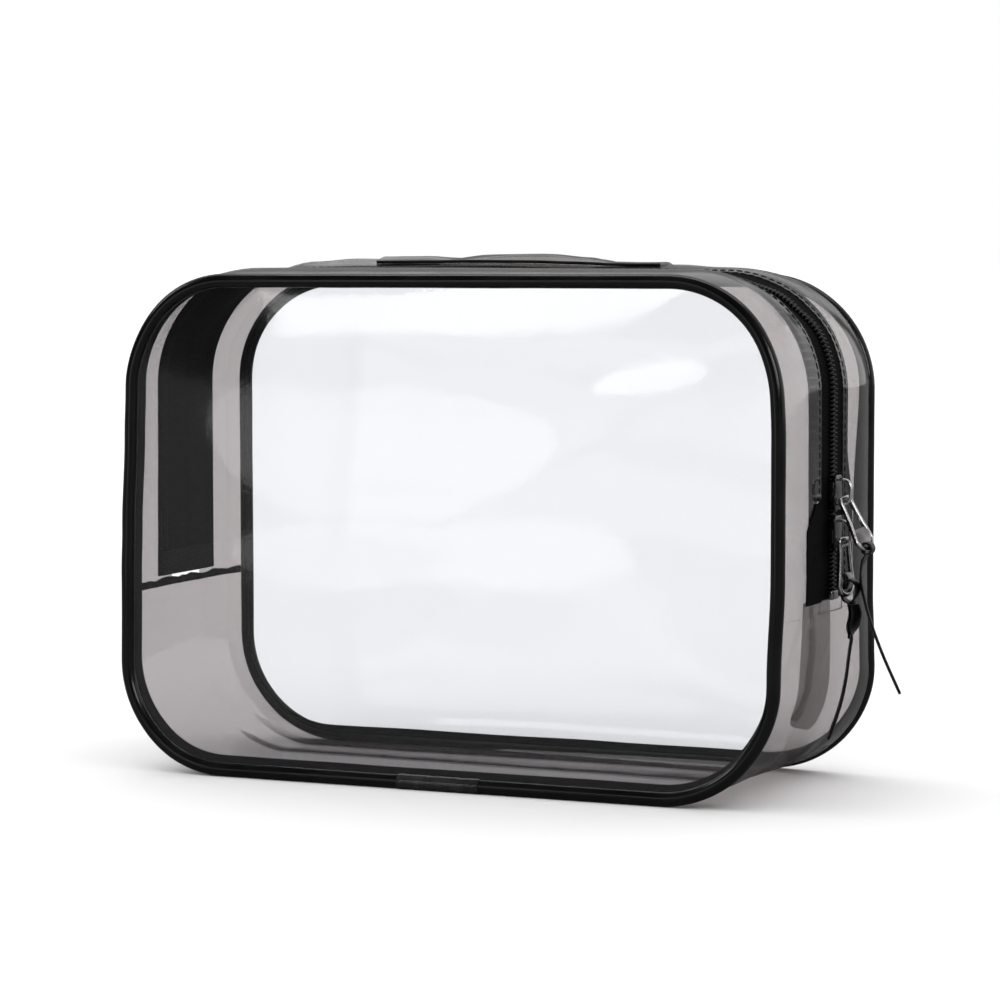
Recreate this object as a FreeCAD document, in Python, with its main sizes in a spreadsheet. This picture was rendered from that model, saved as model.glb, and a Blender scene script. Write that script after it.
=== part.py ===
"""Clear zipped makeup bag: two clear panels, piping, a smoke gusset and a zipper with two sliders.

Millimetres.  X runs along the bag, Y from front (-) to back (+), Z up from the table.
The origin is under the middle of the base.  "Rise" is the distance of a surface outside the
bag's outline (the rounded rectangle seen from the front); it is negative inside the outline.
"""
import FreeCAD, Part
import os

import Sketcher

DOCUMENT = FreeCAD.newDocument("makeup_bag")

SIZES = {
    # the outline and the sheets
    "width": 250.0,
    "height": 180.0,
    "depth": 100.0,
    "corner": 41.0,
    "bead_radius": 2.5,
    "film": 0.5,
    "panel_let_in": 1.2,       # how far a panel's edge runs into the piping
    "let_in": 0.2,             # how far a gusset's edge runs into the piping
    "gusset_inset": 1.0,       # the gusset's outer face at the piping, inside the outline
    "gusset_bow": 2.5,         # the gusset's outer face along the zipper, outside the outline
    "bow_half": 18.0,          # half the width of the bowed gusset's flat crown
    "seam_level": 64.0,        # where the zipped part of the gusset meets the lower part
    "seam_band": 4.0,
    # the zipper
    "zip_gap": 0.6,            # from the middle to the edge of a tape
    "coil_edge": 3.2,
    "coil_thick": 1.4,
    "strip_edge": 12.0,        # inner edge of the gusset strips beside the zipper
    "tape_edge": 16.0,
    "tape_thick": 0.6,
    "binding_start": 16.2,
    "binding_edge": 23.0,
    "binding_thick": 0.5,
    "stop_length": 3.0,
    "stop_thick": 0.6,
    # the handle
    "handle_half": 56.0,
    "handle_foot": 9.0,
    "handle_lift": 6.0,
    "handle_thick": 1.0,
    "handle_near": 22.0,
    "handle_wide": 18.0,
    # the sliders
    "slider_half": 6.0,
    "slider_tail": 3.6,
    "slider_nose": 4.4,
    "slider_gap": 0.3,
    "plate_thick": 1.2,
    "neck_half": 0.4,
    "neck_length": 4.0,
    "flange_in": 3.4,
    "crown_half": 5.0,
    "crown_high": 4.8,
    "crown_bar": 1.3,
    "crown_wide": 2.2,
    "upper_level": 105.0,      # height of each slider's middle at rest
    "lower_level": 91.0,
    # the pulls
    "pivot_rise": 1.9,         # link's bar above the slider's outer plate
    "pivot_drop": 2.1,         # link's bar below the slider's middle
    "link_wide": 9.0,
    "link_thick": 1.4,
    "link_bar": 1.6,
    "link_rail": 1.3,
    "link_window": 11.5,
    "link_reach": 19.0,        # from the link's bar to the bar that the strap hangs on
    "link_slot": 2.6,
    "loop_gap": 0.3,
    "loop_wall": 0.8,
    "strap_wide": 4.8,
    "strap_thick": 1.0,
    "strap_reach": 51.0,
    "upper_link_tilt": 27.0,   # degrees out from straight down
    "upper_strap_tilt": 18.0,
    "lower_link_tilt": 3.0,
    "lower_strap_tilt": 8.0,
}

SHEET = DOCUMENT.addObject("Spreadsheet::Sheet", "Sizes")
for row, (alias, number) in enumerate(SIZES.items(), start=1):
    SHEET.set("A%d" % row, alias)
    SHEET.set("B%d" % row, str(number))
    SHEET.setAlias("B%d" % row, alias)
DOCUMENT.recompute()

# Derived lengths, as expressions on the sheet's cells.
BEAD_LINE = "Sizes.depth / 2 - Sizes.bead_radius"
EDGE = "(Sizes.depth / 2 - 2 * Sizes.bead_radius + Sizes.let_in)"
CROWN_OUT = "Sizes.gusset_bow"
CROWN_IN = "(Sizes.gusset_bow - Sizes.film)"
TAPE_IN = "(Sizes.gusset_bow - Sizes.film - Sizes.tape_thick)"
SLOPE = ("((Sizes.gusset_bow + Sizes.gusset_inset) / (Sizes.depth / 2 - 2 * Sizes.bead_radius"
         " + Sizes.let_in - Sizes.bow_half))")
PLATE_LOW = "(Sizes.gusset_bow - Sizes.film + Sizes.coil_thick + Sizes.slider_gap)"
PLATE_TOP = "(%s + Sizes.plate_thick)" % PLATE_LOW
SLIDER_LOW = "(%s - Sizes.slider_gap)" % TAPE_IN
ZIP_START = "(Sizes.seam_level + Sizes.seam_band)"
SIDE = "Sizes.width / 2"

SUB_PARTS = []


def cell(alias):
    """The number held in the sheet under this alias."""
    return float(SHEET.get(alias))


def keep(item, label):
    """Name a finished sub-part."""
    item.Label = label
    SUB_PARTS.append(item)
    return item


def new_body(name):
    return DOCUMENT.addObject("PartDesign::Body", name)


def new_sketch(body, name, role, lift="0"):
    """A sketch on one of the body's own origin planes, lifted along the plane's normal."""
    plane = [item for item in body.Origin.OriginFeatures if item.Role == role][0]
    sketch = body.newObject("Sketcher::SketchObject", name)
    sketch.AttachmentSupport = [(plane, "")]
    sketch.MapMode = "FlatFace"
    sketch.setExpression("AttachmentOffset.Base.z", lift)
    return sketch


def pin_point(sketch, geometry, end, across, up):
    """Hold one end of a sketch element at a place given by two expressions."""
    drawn = sketch.getPoint(geometry, end)
    for kind, value, expression in (("DistanceX", drawn.x, across), ("DistanceY", drawn.y, up)):
        number = sketch.addConstraint(Sketcher.Constraint(kind, -1, 1, geometry, end, value))
        sketch.setExpression("Constraints[%d]" % number, expression)


def add_polygon(sketch, corners):
    """A closed polygon whose corners are pairs of expressions."""
    first = sketch.GeometryCount
    count = len(corners)
    for index in range(count):
        start = FreeCAD.Vector(index, index * index, 0)
        end = FreeCAD.Vector(index + 1, (index + 1) ** 2, 0)
        sketch.addGeometry(Part.LineSegment(start, end), False)
    for index in range(count):
        following = first + (index + 1) % count
        sketch.addConstraint(Sketcher.Constraint("Coincident", first + index, 2, following, 1))
    for index, (across, up) in enumerate(corners):
        pin_point(sketch, first + index, 1, across, up)


def add_rectangle(sketch, low_across, high_across, low_up, high_up):
    add_polygon(sketch, [(low_across, low_up), (high_across, low_up),
                         (high_across, high_up), (low_across, high_up)])


def add_route(sketch, inset, level, direction):
    """The outline, moved inside by inset, from one side at a level to the other side.

    direction 1 goes over the top, -1 under the base, and 0 is the whole closed outline.
    """
    half = cell("width") / 2
    high = cell("height")
    radius = cell("corner")
    side = "(%s - %s)" % (SIDE, inset)
    flat = "(%s - Sizes.corner)" % SIDE
    low_bend, high_bend = "Sizes.corner", "(Sizes.height - Sizes.corner)"
    base, top = inset, "(Sizes.height - %s)" % inset
    # straight runs: start across, start up, end across, end up, all as expressions
    right = [side, level, side, high_bend]
    roof = [flat, top, "-" + flat, top]
    left = ["-" + side, high_bend, "-" + side, level]
    runs = [right, roof, left]
    hints = [(half, high / 2, half, high - radius), (half - radius, high, radius - half, high),
             (-half, high - radius, -half, high / 2)]
    bends = [(half - radius, high - radius, 0), (radius - half, high - radius, 1)]
    if direction == -1:
        runs = [[side, level, side, low_bend], [flat, base, "-" + flat, base],
                ["-" + side, low_bend, "-" + side, level]]
        hints = [(half, high / 2, half, radius), (half - radius, 0, radius - half, 0),
                 (-half, radius, -half, high / 2)]
        bends = [(half - radius, radius, 3), (radius - half, radius, 2)]
    if direction == 0:
        runs = [[side, low_bend, side, high_bend], roof,
                ["-" + side, high_bend, "-" + side, low_bend], ["-" + flat, base, flat, base]]
        hints = [(half, radius, half, high - radius), hints[1],
                 (-half, high - radius, -half, radius), (radius - half, 0, half - radius, 0)]
        bends += [(radius - half, radius, 2), (half - radius, radius, 3)]
    middles = [flat, "-" + flat, "-" + flat, flat]
    quarter = 1.5707963267948966
    first = sketch.GeometryCount
    for start_x, start_y, end_x, end_y in hints:
        sketch.addGeometry(Part.LineSegment(FreeCAD.Vector(start_x, start_y, 0),
                                            FreeCAD.Vector(end_x, end_y, 0)), False)
    arcs = sketch.GeometryCount
    for centre_x, centre_y, turn in bends:
        circle = Part.Circle(FreeCAD.Vector(centre_x, centre_y, 0), FreeCAD.Vector(0, 0, 1), radius)
        sketch.addGeometry(Part.ArcOfCircle(circle, turn * quarter, (turn + 1) * quarter), False)
    for index, run in enumerate(runs):
        pin_point(sketch, first + index, 1, run[0], run[1])
        pin_point(sketch, first + index, 2, run[2], run[3])
    # an arc's ends are numbered anticlockwise, so they swap on the way under the base
    near, far = (2, 1) if direction == -1 else (1, 2)
    for index in range(len(bends)):
        after = first + (index + 1) % len(runs)
        sketch.addConstraint(Sketcher.Constraint("Coincident", first + index, 2, arcs + index, near))
        sketch.addConstraint(Sketcher.Constraint("Coincident", after, 1, arcs + index, far))
        middle = sketch.getPoint(arcs + index, 3).x
        number = sketch.addConstraint(
            Sketcher.Constraint("DistanceX", -1, 1, arcs + index, 3, middle))
        sketch.setExpression("Constraints[%d]" % number, middles[index])


def pad(body, name, sketch, length, midplane=False):
    feature = body.newObject("PartDesign::Pad", name)
    feature.Profile = sketch
    feature.setExpression("Length", length)
    feature.Midplane = midplane
    return feature


def pipe(body, name, profile, spine):
    feature = body.newObject("PartDesign::AdditivePipe", name)
    feature.Profile = profile
    feature.Spine = spine
    return feature


def strip_along(label, route, level, profile_corners, sign=1):
    """A sheet whose section runs along the outline, from one side to the other."""
    body = new_body(label)
    profile = new_sketch(body, label + "_section", "XY_Plane", level)
    add_polygon(profile, [(across, "%d * (%s)" % (sign, away)) for across, away in profile_corners])
    spine = new_sketch(body, label + "_route", "XZ_Plane")
    add_route(spine, "0", level, route)
    DOCUMENT.recompute()
    pipe(body, label + "_sweep", profile, spine)
    return keep(body, label)


def section(*points):
    """Section corners on the right side, from pairs (distance from the middle, rise)."""
    return [("%s + %s" % (SIDE, rise), away) for away, rise in points]


def sloped(away, depth):
    """Rise of the bowed gusset on its sloping part, depth inside its outer face."""
    return "(%s - %s * (%s - Sizes.bow_half) - %s)" % (CROWN_OUT, SLOPE, away, depth)


def panel(label, side):
    """A clear panel: a rounded sheet let into the piping all round."""
    body = new_body(label)
    outline = new_sketch(body, label + "_outline", "XZ_Plane", "%d * (%s)" % (-side, BEAD_LINE))
    add_route(outline, "(2 * Sizes.bead_radius - Sizes.panel_let_in)", "0", 0)
    pad(body, label + "_sheet", outline, "Sizes.film", midplane=True)
    return keep(body, label)


def bead(label, side):
    """The round piping cord around one panel."""
    body = new_body(label)
    profile = new_sketch(body, label + "_section", "XY_Plane", "Sizes.corner")
    radius = cell("bead_radius")
    start = FreeCAD.Vector(cell("width") / 2 - radius, side * (cell("depth") / 2 - radius), 0)
    circle = profile.addGeometry(Part.Circle(start, FreeCAD.Vector(0, 0, 1), radius), False)
    pin_point(profile, circle, 3, SIDE + " - Sizes.bead_radius", "%d * (%s)" % (side, BEAD_LINE))
    number = profile.addConstraint(Sketcher.Constraint("Radius", circle, radius))
    profile.setExpression("Constraints[%d]" % number, "Sizes.bead_radius")
    spine = new_sketch(body, label + "_route", "XZ_Plane", "%d * (%s)" % (-side, BEAD_LINE))
    add_route(spine, "Sizes.bead_radius", "0", 0)
    DOCUMENT.recompute()
    pipe(body, label + "_sweep", profile, spine)
    return body


def cut(name, base, tool):
    result = DOCUMENT.addObject("Part::Cut", name)
    result.Base = base
    result.Tool = tool
    return result


def fuse(name, *shapes):
    result = DOCUMENT.addObject("Part::MultiFuse", name)
    result.Shapes = list(shapes)
    return result


def box(name, sizes, corner):
    """A block from the expressions of its three sizes and of its lowest corner."""
    block = DOCUMENT.addObject("Part::Box", name)
    for key, expression in zip(("Length", "Width", "Height"), sizes):
        block.setExpression(key, expression)
    for key, expression in zip("xyz", corner):
        block.setExpression("Placement.Base." + key, expression)
    return block


def cross_cylinder(name, radius, length, height):
    """A cylinder along Y, centred on the middle plane at X = 0, with its axis at this height."""
    cylinder = DOCUMENT.addObject("Part::Cylinder", name)
    cylinder.Placement.Rotation = FreeCAD.Rotation(FreeCAD.Vector(1, 0, 0), -90)
    cylinder.setExpression("Radius", radius)
    cylinder.setExpression("Height", length)
    cylinder.setExpression("Placement.Base.y", "-(%s) / 2" % length)
    cylinder.setExpression("Placement.Base.z", height)
    return cylinder


# ---- sheets and piping ----------------------------------------------------------------------

def gusset_strip(label, sign):
    """The smoke strip between the piping and the zipper."""
    corners = section(("Sizes.strip_edge", CROWN_OUT), ("Sizes.bow_half", CROWN_OUT),
                      (EDGE, "-Sizes.gusset_inset"), (EDGE, "-Sizes.gusset_inset - Sizes.film"),
                      ("Sizes.bow_half", CROWN_IN), ("Sizes.strip_edge", CROWN_IN))
    return strip_along(label, 1, "Sizes.seam_level", corners, sign)


def full_gusset_corners(crown):
    """The whole gusset's section, with its middle at this rise."""
    inner = "(%s - Sizes.film)" % crown
    right = [(EDGE, "-Sizes.gusset_inset"), ("Sizes.bow_half", crown)]
    left = [("-" + away, rise) for away, rise in reversed(right)]
    left_in = [("-" + EDGE, "-Sizes.gusset_inset - Sizes.film"), ("-Sizes.bow_half", inner)]
    right_in = [("Sizes.bow_half", inner), (EDGE, "-Sizes.gusset_inset - Sizes.film")]
    return right + left + left_in + right_in


def lower_gusset():
    """The one smoke sheet under the base, flat there, whose two ends rise to the seams."""
    label = "lower_gusset"
    body = new_body(label)
    flat = "-Sizes.gusset_inset"
    profile = new_sketch(body, label + "_section", "XY_Plane", "Sizes.corner")
    add_rectangle(profile, SIDE + " - Sizes.gusset_inset - Sizes.film",
                  SIDE + " - Sizes.gusset_inset", "-" + EDGE, EDGE)
    spine = new_sketch(body, label + "_route", "XZ_Plane")
    add_route(spine, "0", "Sizes.corner", -1)
    DOCUMENT.recompute()
    pipe(body, label + "_base", profile, spine)
    for side, sign in (("right", ""), ("left", "-")):
        ends = []
        for place, level, crown in (("low", "Sizes.corner", flat),
                                    ("high", "Sizes.seam_level", CROWN_OUT)):
            end = new_sketch(body, "%s_%s_%s" % (label, side, place), "XY_Plane", level)
            add_polygon(end, [("%s(%s)" % (sign, across), away)
                              for across, away in section(*full_gusset_corners(crown))])
            ends.append(end)
        DOCUMENT.recompute()
        loft = body.newObject("PartDesign::AdditiveLoft", "%s_%s_wall" % (label, side))
        loft.Profile = ends[0]
        loft.Sections = ends[1:]
        loft.Ruled = True
    return keep(body, label)


def zipper_tape(label, sign):
    corners = section(("Sizes.zip_gap", CROWN_IN), ("Sizes.tape_edge", CROWN_IN),
                      ("Sizes.tape_edge", TAPE_IN), ("Sizes.zip_gap", TAPE_IN))
    return strip_along(label, 1, ZIP_START, corners, sign)


def zipper_coil(label, sign):
    top = "(%s + Sizes.coil_thick)" % CROWN_IN
    corners = section(("Sizes.zip_gap", CROWN_IN), ("Sizes.zip_gap", top),
                      ("Sizes.coil_edge", top), ("Sizes.coil_edge", CROWN_IN))
    return strip_along(label, 1, ZIP_START, corners, sign)


def zipper_binding(label, sign):
    """The black ribbon over the joint of tape and strip, inside the bag."""
    thick = "(Sizes.film + Sizes.binding_thick)"
    corners = section(("Sizes.binding_start", CROWN_IN), ("Sizes.bow_half", CROWN_IN),
                      ("Sizes.binding_edge", sloped("Sizes.binding_edge", "Sizes.film")),
                      ("Sizes.binding_edge", sloped("Sizes.binding_edge", thick)),
                      ("Sizes.bow_half", sloped("Sizes.bow_half", thick)),
                      ("Sizes.binding_start", sloped("Sizes.bow_half", thick)))
    return strip_along(label, 1, ZIP_START, corners, sign)


def seam_band(label, sign):
    """The folded seam across one side, where the zipper's end is caught."""
    body = new_body(label)
    sketch = new_sketch(body, label + "_section", "XY_Plane", "Sizes.seam_level")
    edge = "(%s - Sizes.let_in - 1)" % EDGE
    inner = TAPE_IN
    right = [(edge, sloped(edge, "Sizes.film")), ("Sizes.bow_half", CROWN_IN)]
    left = [("-" + away, rise) for away, rise in reversed(right)]
    right_in = [("Sizes.bow_half", inner),
                (edge, sloped(edge, "(Sizes.film + Sizes.tape_thick)"))]
    left_in = [("-" + away, rise) for away, rise in reversed(right_in)]
    corners = section(*(right + left + left_in + right_in))
    add_polygon(sketch, [("%s(%s)" % (sign, across), away) for across, away in corners])
    pad(body, label + "_band", sketch, "Sizes.seam_band")
    return keep(body, label)


def zipper_stop(label, sign):
    """The metal staple over the two coils at one end of the zipper."""
    body = new_body(label)
    sketch = new_sketch(body, label + "_section", "XY_Plane", ZIP_START)
    low = "(%s + Sizes.coil_thick)" % CROWN_IN
    corners = section(("Sizes.coil_edge", low), ("-Sizes.coil_edge", low),
                      ("-Sizes.coil_edge", "(%s + Sizes.stop_thick)" % low),
                      ("Sizes.coil_edge", "(%s + Sizes.stop_thick)" % low))
    add_polygon(sketch, [("%s(%s)" % (sign, across), away) for across, away in corners])
    pad(body, label + "_staple", sketch, "Sizes.stop_length")
    return keep(body, label)


def handle():
    """The flat carrying strap on the back strip: two feet and a shallow arch between them."""
    label = "handle_strap"
    body = new_body(label)
    sketch = new_sketch(body, label + "_side", "XZ_Plane", "-Sizes.handle_wide")
    foot = "(Sizes.handle_half - Sizes.handle_foot)"
    third = "(Sizes.handle_half - Sizes.handle_foot) * 0.55"
    lift = "Sizes.handle_lift"
    rise = "(Sizes.handle_lift * 0.72)"
    under = [("-Sizes.handle_half", "0"), ("-" + foot, "0"), ("-" + third, rise), ("0", lift),
             (third, rise), (foot, "0"), ("Sizes.handle_half", "0")]
    over = [(across, "(%s + Sizes.handle_thick)" % up) for across, up in reversed(under)]
    add_polygon(sketch, under + over)
    pad(body, label + "_band", sketch, "Sizes.handle_wide")
    # the strap lies on the sloping back strip
    body.Placement.Rotation = FreeCAD.Rotation(FreeCAD.Vector(-1, 0, 0), 1)
    body.setExpression("Placement.Rotation.Angle", "atan(%s)" % SLOPE)
    body.setExpression("Placement.Base.y", "Sizes.handle_near")
    body.setExpression("Placement.Base.z", "Sizes.height + " + sloped("Sizes.handle_near", "0"))
    return keep(body, label)


# ---- sliders and pulls ----------------------------------------------------------------------

def slider_body(label, level, nose):
    """Two plates joined by a neck between the coils; nose is 1 where its wide end is up."""
    body = new_body(label)
    neck = new_sketch(body, label + "_neck_section", "YZ_Plane", SIDE + " + %s" % SLIDER_LOW)
    add_rectangle(neck, "-Sizes.neck_half", "Sizes.neck_half",
                  "-Sizes.neck_length / 2", "Sizes.neck_length / 2")
    pad(body, label + "_neck", neck, "%s - %s" % (PLATE_LOW, SLIDER_LOW))
    side = [("Sizes.slider_tail * 0.8", -1.0), ("Sizes.slider_tail", -0.85),
            ("Sizes.slider_nose", 0.55), ("Sizes.slider_nose * 0.75", 1.0)]
    outline = [(away, "%g * Sizes.slider_half" % (nose * part)) for away, part in side]
    outline += [("-" + away, up) for away, up in reversed(outline)]
    for place, rise in (("outer", PLATE_LOW), ("inner", "(%s - Sizes.plate_thick)" % SLIDER_LOW)):
        sketch = new_sketch(body, "%s_%s_outline" % (label, place), "YZ_Plane",
                            "%s + %s" % (SIDE, rise))
        add_polygon(sketch, outline)
        pad(body, "%s_%s_plate" % (label, place), sketch, "Sizes.plate_thick")
    flange_foot = "(%s + Sizes.slider_gap)" % CROWN_IN
    flanges = new_sketch(body, label + "_flange_section", "YZ_Plane",
                         "%s + %s" % (SIDE, flange_foot))
    for sign in (1, -1):
        add_rectangle(flanges, "%d * Sizes.flange_in" % sign, "%d * Sizes.slider_nose * 0.92" % sign,
                      "-Sizes.slider_half * 0.6", "Sizes.slider_half * 0.6")
    pad(body, label + "_flanges", flanges, "%s - %s" % (PLATE_LOW, flange_foot))
    body.setExpression("Placement.Base.z", level)
    return keep(body, label)


def slider_crown(label, level):
    """The bridge on the slider's outer plate that the pull hangs from."""
    body = new_body(label)
    sketch = new_sketch(body, label + "_side", "XZ_Plane")
    foot = "%s + %s" % (SIDE, PLATE_TOP)
    low, high = foot, foot + " + Sizes.crown_high"
    shoulder = foot + " + Sizes.crown_high * 0.72"
    under, under_shoulder = high + " - Sizes.crown_bar", shoulder + " - Sizes.crown_bar * 0.8"
    half, inner = "Sizes.crown_half", "(Sizes.crown_half - Sizes.crown_bar)"
    outer = [(low, half), (shoulder, half), (high, half + " * 0.68")]
    hollow = [(under, inner + " * 0.7"), (under_shoulder, inner), (low, inner)]
    ring = [(across, "-(%s)" % up) for across, up in outer] + outer[::-1]
    ring += hollow[::-1] + [(across, "-(%s)" % up) for across, up in hollow]
    add_polygon(sketch, ring)
    pad(body, label + "_bridge", sketch, "Sizes.crown_wide", midplane=True)
    body.setExpression("Placement.Base.z", level)
    return keep(body, label)


def pull_link(label):
    """The metal link: two rails, a bar under the crown and a rounded end with the strap's slot."""
    wide, thick, bar = "Sizes.link_wide", "Sizes.link_thick", "Sizes.link_bar"
    plate = box(label + "_plate", (thick, wide, "Sizes.link_reach + %s / 2" % bar),
                ("-%s / 2" % thick, "-%s / 2" % wide, "-Sizes.link_reach"))
    end = DOCUMENT.addObject("Part::Cylinder", label + "_end")
    end.Placement.Rotation = FreeCAD.Rotation(FreeCAD.Vector(0, 1, 0), 90)
    end.setExpression("Radius", wide + " / 2")
    end.setExpression("Height", thick)
    end.setExpression("Placement.Base.x", "-%s / 2" % thick)
    end.setExpression("Placement.Base.z", "-Sizes.link_reach + Sizes.link_wide / 2 - Sizes.link_bar / 2")
    trim_size = ("2 * " + thick, wide, wide)
    trim_corner = ("-" + thick, "-%s / 2" % wide,
                   "-Sizes.link_reach - Sizes.link_wide / 2 - Sizes.link_bar / 2")
    squared = cut(label + "_shank", plate, box(label + "_trim", trim_size, trim_corner))
    blank = fuse(label + "_blank", squared, end)
    opening = "%s - 2 * Sizes.link_rail" % wide
    window = box(label + "_window", ("2 * " + thick, opening, "Sizes.link_window + 2 * " + bar),
                 ("-" + thick, "-(%s) / 2" % opening, "-%s / 2 - Sizes.link_window" % bar))
    slot = box(label + "_slot", ("2 * " + thick, "Sizes.strap_wide + 0.8", "Sizes.link_slot"),
               ("-" + thick, "-(Sizes.strap_wide + 0.8) / 2", "-Sizes.link_reach + %s / 2" % bar))
    forked = cut(label + "_slotted", cut(label + "_forked", blank, window), slot)
    round_bar = cross_cylinder(label + "_bar", bar + " / 2", wide, "0")
    return keep(fuse(label + "_metal", forked, round_bar), label)


def hang(item, across, height, tilt, outward=True):
    """Place a piece drawn hanging from its own origin, tilted in the bag's long plane."""
    item.Placement.Rotation = FreeCAD.Rotation(FreeCAD.Vector(0, -1 if outward else 1, 0), 1)
    item.setExpression("Placement.Rotation.Angle", "%s * 1 deg" % tilt)
    item.setExpression("Placement.Base.x", across)
    item.setExpression("Placement.Base.z", height)


def pull_strap(label):
    """The flat strap: a loop round the link's lower bar and one long tab."""
    bore = "(Sizes.link_bar * 0.67 + Sizes.loop_gap)"
    wide = "Sizes.strap_wide"
    ring = cross_cylinder(label + "_ring", bore + " + Sizes.loop_wall", wide, "0")
    tab = box(label + "_tab", ("Sizes.strap_thick", wide, "Sizes.strap_reach - %s" % bore),
              ("-Sizes.strap_thick / 2", "-%s / 2" % wide, "-Sizes.strap_reach"))
    blank = fuse(label + "_blank", ring, tab)
    hole = cross_cylinder(label + "_hole", bore, wide + " + 2", "0")
    return keep(cut(label + "_sheet", blank, hole), label)


def pull(place, level, link_tilt, strap_tilt, strap_outward):
    """One slider's link and strap, hanging from its crown."""
    across = "%s + %s + Sizes.pivot_rise" % (SIDE, PLATE_TOP)
    height = "%s - Sizes.pivot_drop" % level
    link = pull_link("pull_link_" + place)
    hang(link, across, height, link_tilt)
    strap = pull_strap("pull_strap_" + place)
    hang(strap, "%s + Sizes.link_reach * sin(%s * 1 deg)" % (across, link_tilt),
         "%s - Sizes.link_reach * cos(%s * 1 deg)" % (height, link_tilt), strap_tilt, strap_outward)


# ---- the bag --------------------------------------------------------------------------------

front_panel = panel("front_panel", -1)
back_panel = panel("back_panel", 1)
front_strip = gusset_strip("zip_gusset_front", -1)
back_strip = gusset_strip("zip_gusset_back", 1)
base_sheet = lower_gusset()
for label, side, sheets in (("front_piping", -1, (front_panel, front_strip, base_sheet)),
                            ("back_piping", 1, (back_panel, back_strip, base_sheet))):
    cord = bead(label + "_cord", side)
    for index, sheet in enumerate(sheets):
        cord = cut("%s_slot_%d" % (label, index), cord, sheet)
    keep(cord, label)
for place, side in (("front", -1), ("back", 1)):
    zipper_tape("zip_tape_" + place, side)
    zipper_coil("zip_coil_" + place, side)
    zipper_binding("zip_binding_" + place, side)
for place, side in (("right", ""), ("left", "-")):
    seam_band("side_seam_" + place, side)
    zipper_stop("zip_stop_" + place, side)
handle()
for place, level, nose in (("upper", "Sizes.upper_level", -1), ("lower", "Sizes.lower_level", 1)):
    slider_body("slider_%s_body" % place, level, nose)
    slider_crown("slider_%s_crown" % place, level)
pull("upper", "Sizes.upper_level", "Sizes.upper_link_tilt", "Sizes.upper_strap_tilt", True)
pull("lower", "Sizes.lower_level", "Sizes.lower_link_tilt", "Sizes.lower_strap_tilt", False)

DOCUMENT.recompute()
DOCUMENT.recompute()

for item in DOCUMENT.Objects:
    if "Invalid" in item.State or "Error" in item.State:
        raise RuntimeError("%s did not compute: %s" % (item.Label, item.State))
os.makedirs("parts", exist_ok=True)
for item in SUB_PARTS:
    shape = item.Shape
    if shape.isNull() or not shape.isValid() or not shape.Solids:
        raise RuntimeError("%s has no valid shape" % item.Label)
    shape.exportStep("parts/%s.step" % item.Label)
    print("%-20s %10.1f mm3  %d solid" % (item.Label, shape.Volume, len(shape.Solids)))
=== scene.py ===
import math

import bmesh
import bpy
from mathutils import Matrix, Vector, noise

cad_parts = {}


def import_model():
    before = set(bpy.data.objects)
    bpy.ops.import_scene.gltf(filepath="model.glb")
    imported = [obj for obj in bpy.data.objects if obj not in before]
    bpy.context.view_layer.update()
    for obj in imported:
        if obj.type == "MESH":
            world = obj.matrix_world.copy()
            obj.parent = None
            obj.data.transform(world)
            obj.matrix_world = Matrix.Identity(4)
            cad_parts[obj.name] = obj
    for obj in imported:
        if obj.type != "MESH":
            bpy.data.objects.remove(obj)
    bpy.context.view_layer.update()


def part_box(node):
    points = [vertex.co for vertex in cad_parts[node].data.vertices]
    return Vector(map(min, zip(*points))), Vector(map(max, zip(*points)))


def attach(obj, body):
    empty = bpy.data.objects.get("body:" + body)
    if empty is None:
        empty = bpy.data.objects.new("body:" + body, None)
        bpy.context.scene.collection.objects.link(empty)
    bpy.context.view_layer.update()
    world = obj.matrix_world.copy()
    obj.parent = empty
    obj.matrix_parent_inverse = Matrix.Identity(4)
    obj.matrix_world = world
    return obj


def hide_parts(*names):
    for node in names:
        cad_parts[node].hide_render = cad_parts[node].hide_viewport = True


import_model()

MM = 0.001
scene = bpy.context.scene

# ---- camera ----

CAMERA_YAW = math.radians(23.14)
CAMERA_PITCH = math.radians(-4.16)
camera_data = bpy.data.cameras.new("camera")
camera_data.sensor_width = 36.0
camera_data.lens = 116.9
camera = bpy.data.objects.new("camera", camera_data)
camera.location = (460.7 * MM, -1070.8 * MM, 183.4 * MM)
camera.rotation_euler = (math.pi / 2 + CAMERA_PITCH, 0.0, CAMERA_YAW)
scene.collection.objects.link(camera)
scene.camera = camera

# ---- sizes read from the frame ----

PIPING_LOW, PIPING_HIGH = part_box("front_piping")
HALF = PIPING_HIGH.x
TOP = PIPING_HIGH.z
BEAD = (PIPING_HIGH.y - PIPING_LOW.y) / 2
BEAD_Y = -(PIPING_HIGH.y + PIPING_LOW.y) / 2
CORNER = 41 * MM
SEAM_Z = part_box("lower_gusset")[1].z
ZIP_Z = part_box("zip_tape_front")[0].z
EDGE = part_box("zip_gusset_back")[1].y
STRIP_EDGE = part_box("zip_gusset_back")[0].y
TAPE_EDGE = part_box("zip_tape_back")[1].y
BINDING_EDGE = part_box("zip_binding_back")[1].y
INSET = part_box("lower_gusset")[0].z
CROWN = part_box("zip_gusset_front")[1].z - TOP
FILM = 0.5 * MM
TAPE_THICK = 0.6 * MM

# ---- the outline ----

BEND = math.pi / 2 * CORNER
SIDE_RUN = TOP - 2 * CORNER
FLAT = HALF - CORNER
STRETCHES = [("run", FLAT), ("bend", BEND), ("run", SIDE_RUN), ("bend", BEND), ("run", 2 * FLAT),
             ("bend", BEND), ("run", SIDE_RUN), ("bend", BEND), ("run", FLAT)]
LENGTH = sum(length for _, length in STRETCHES)


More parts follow.
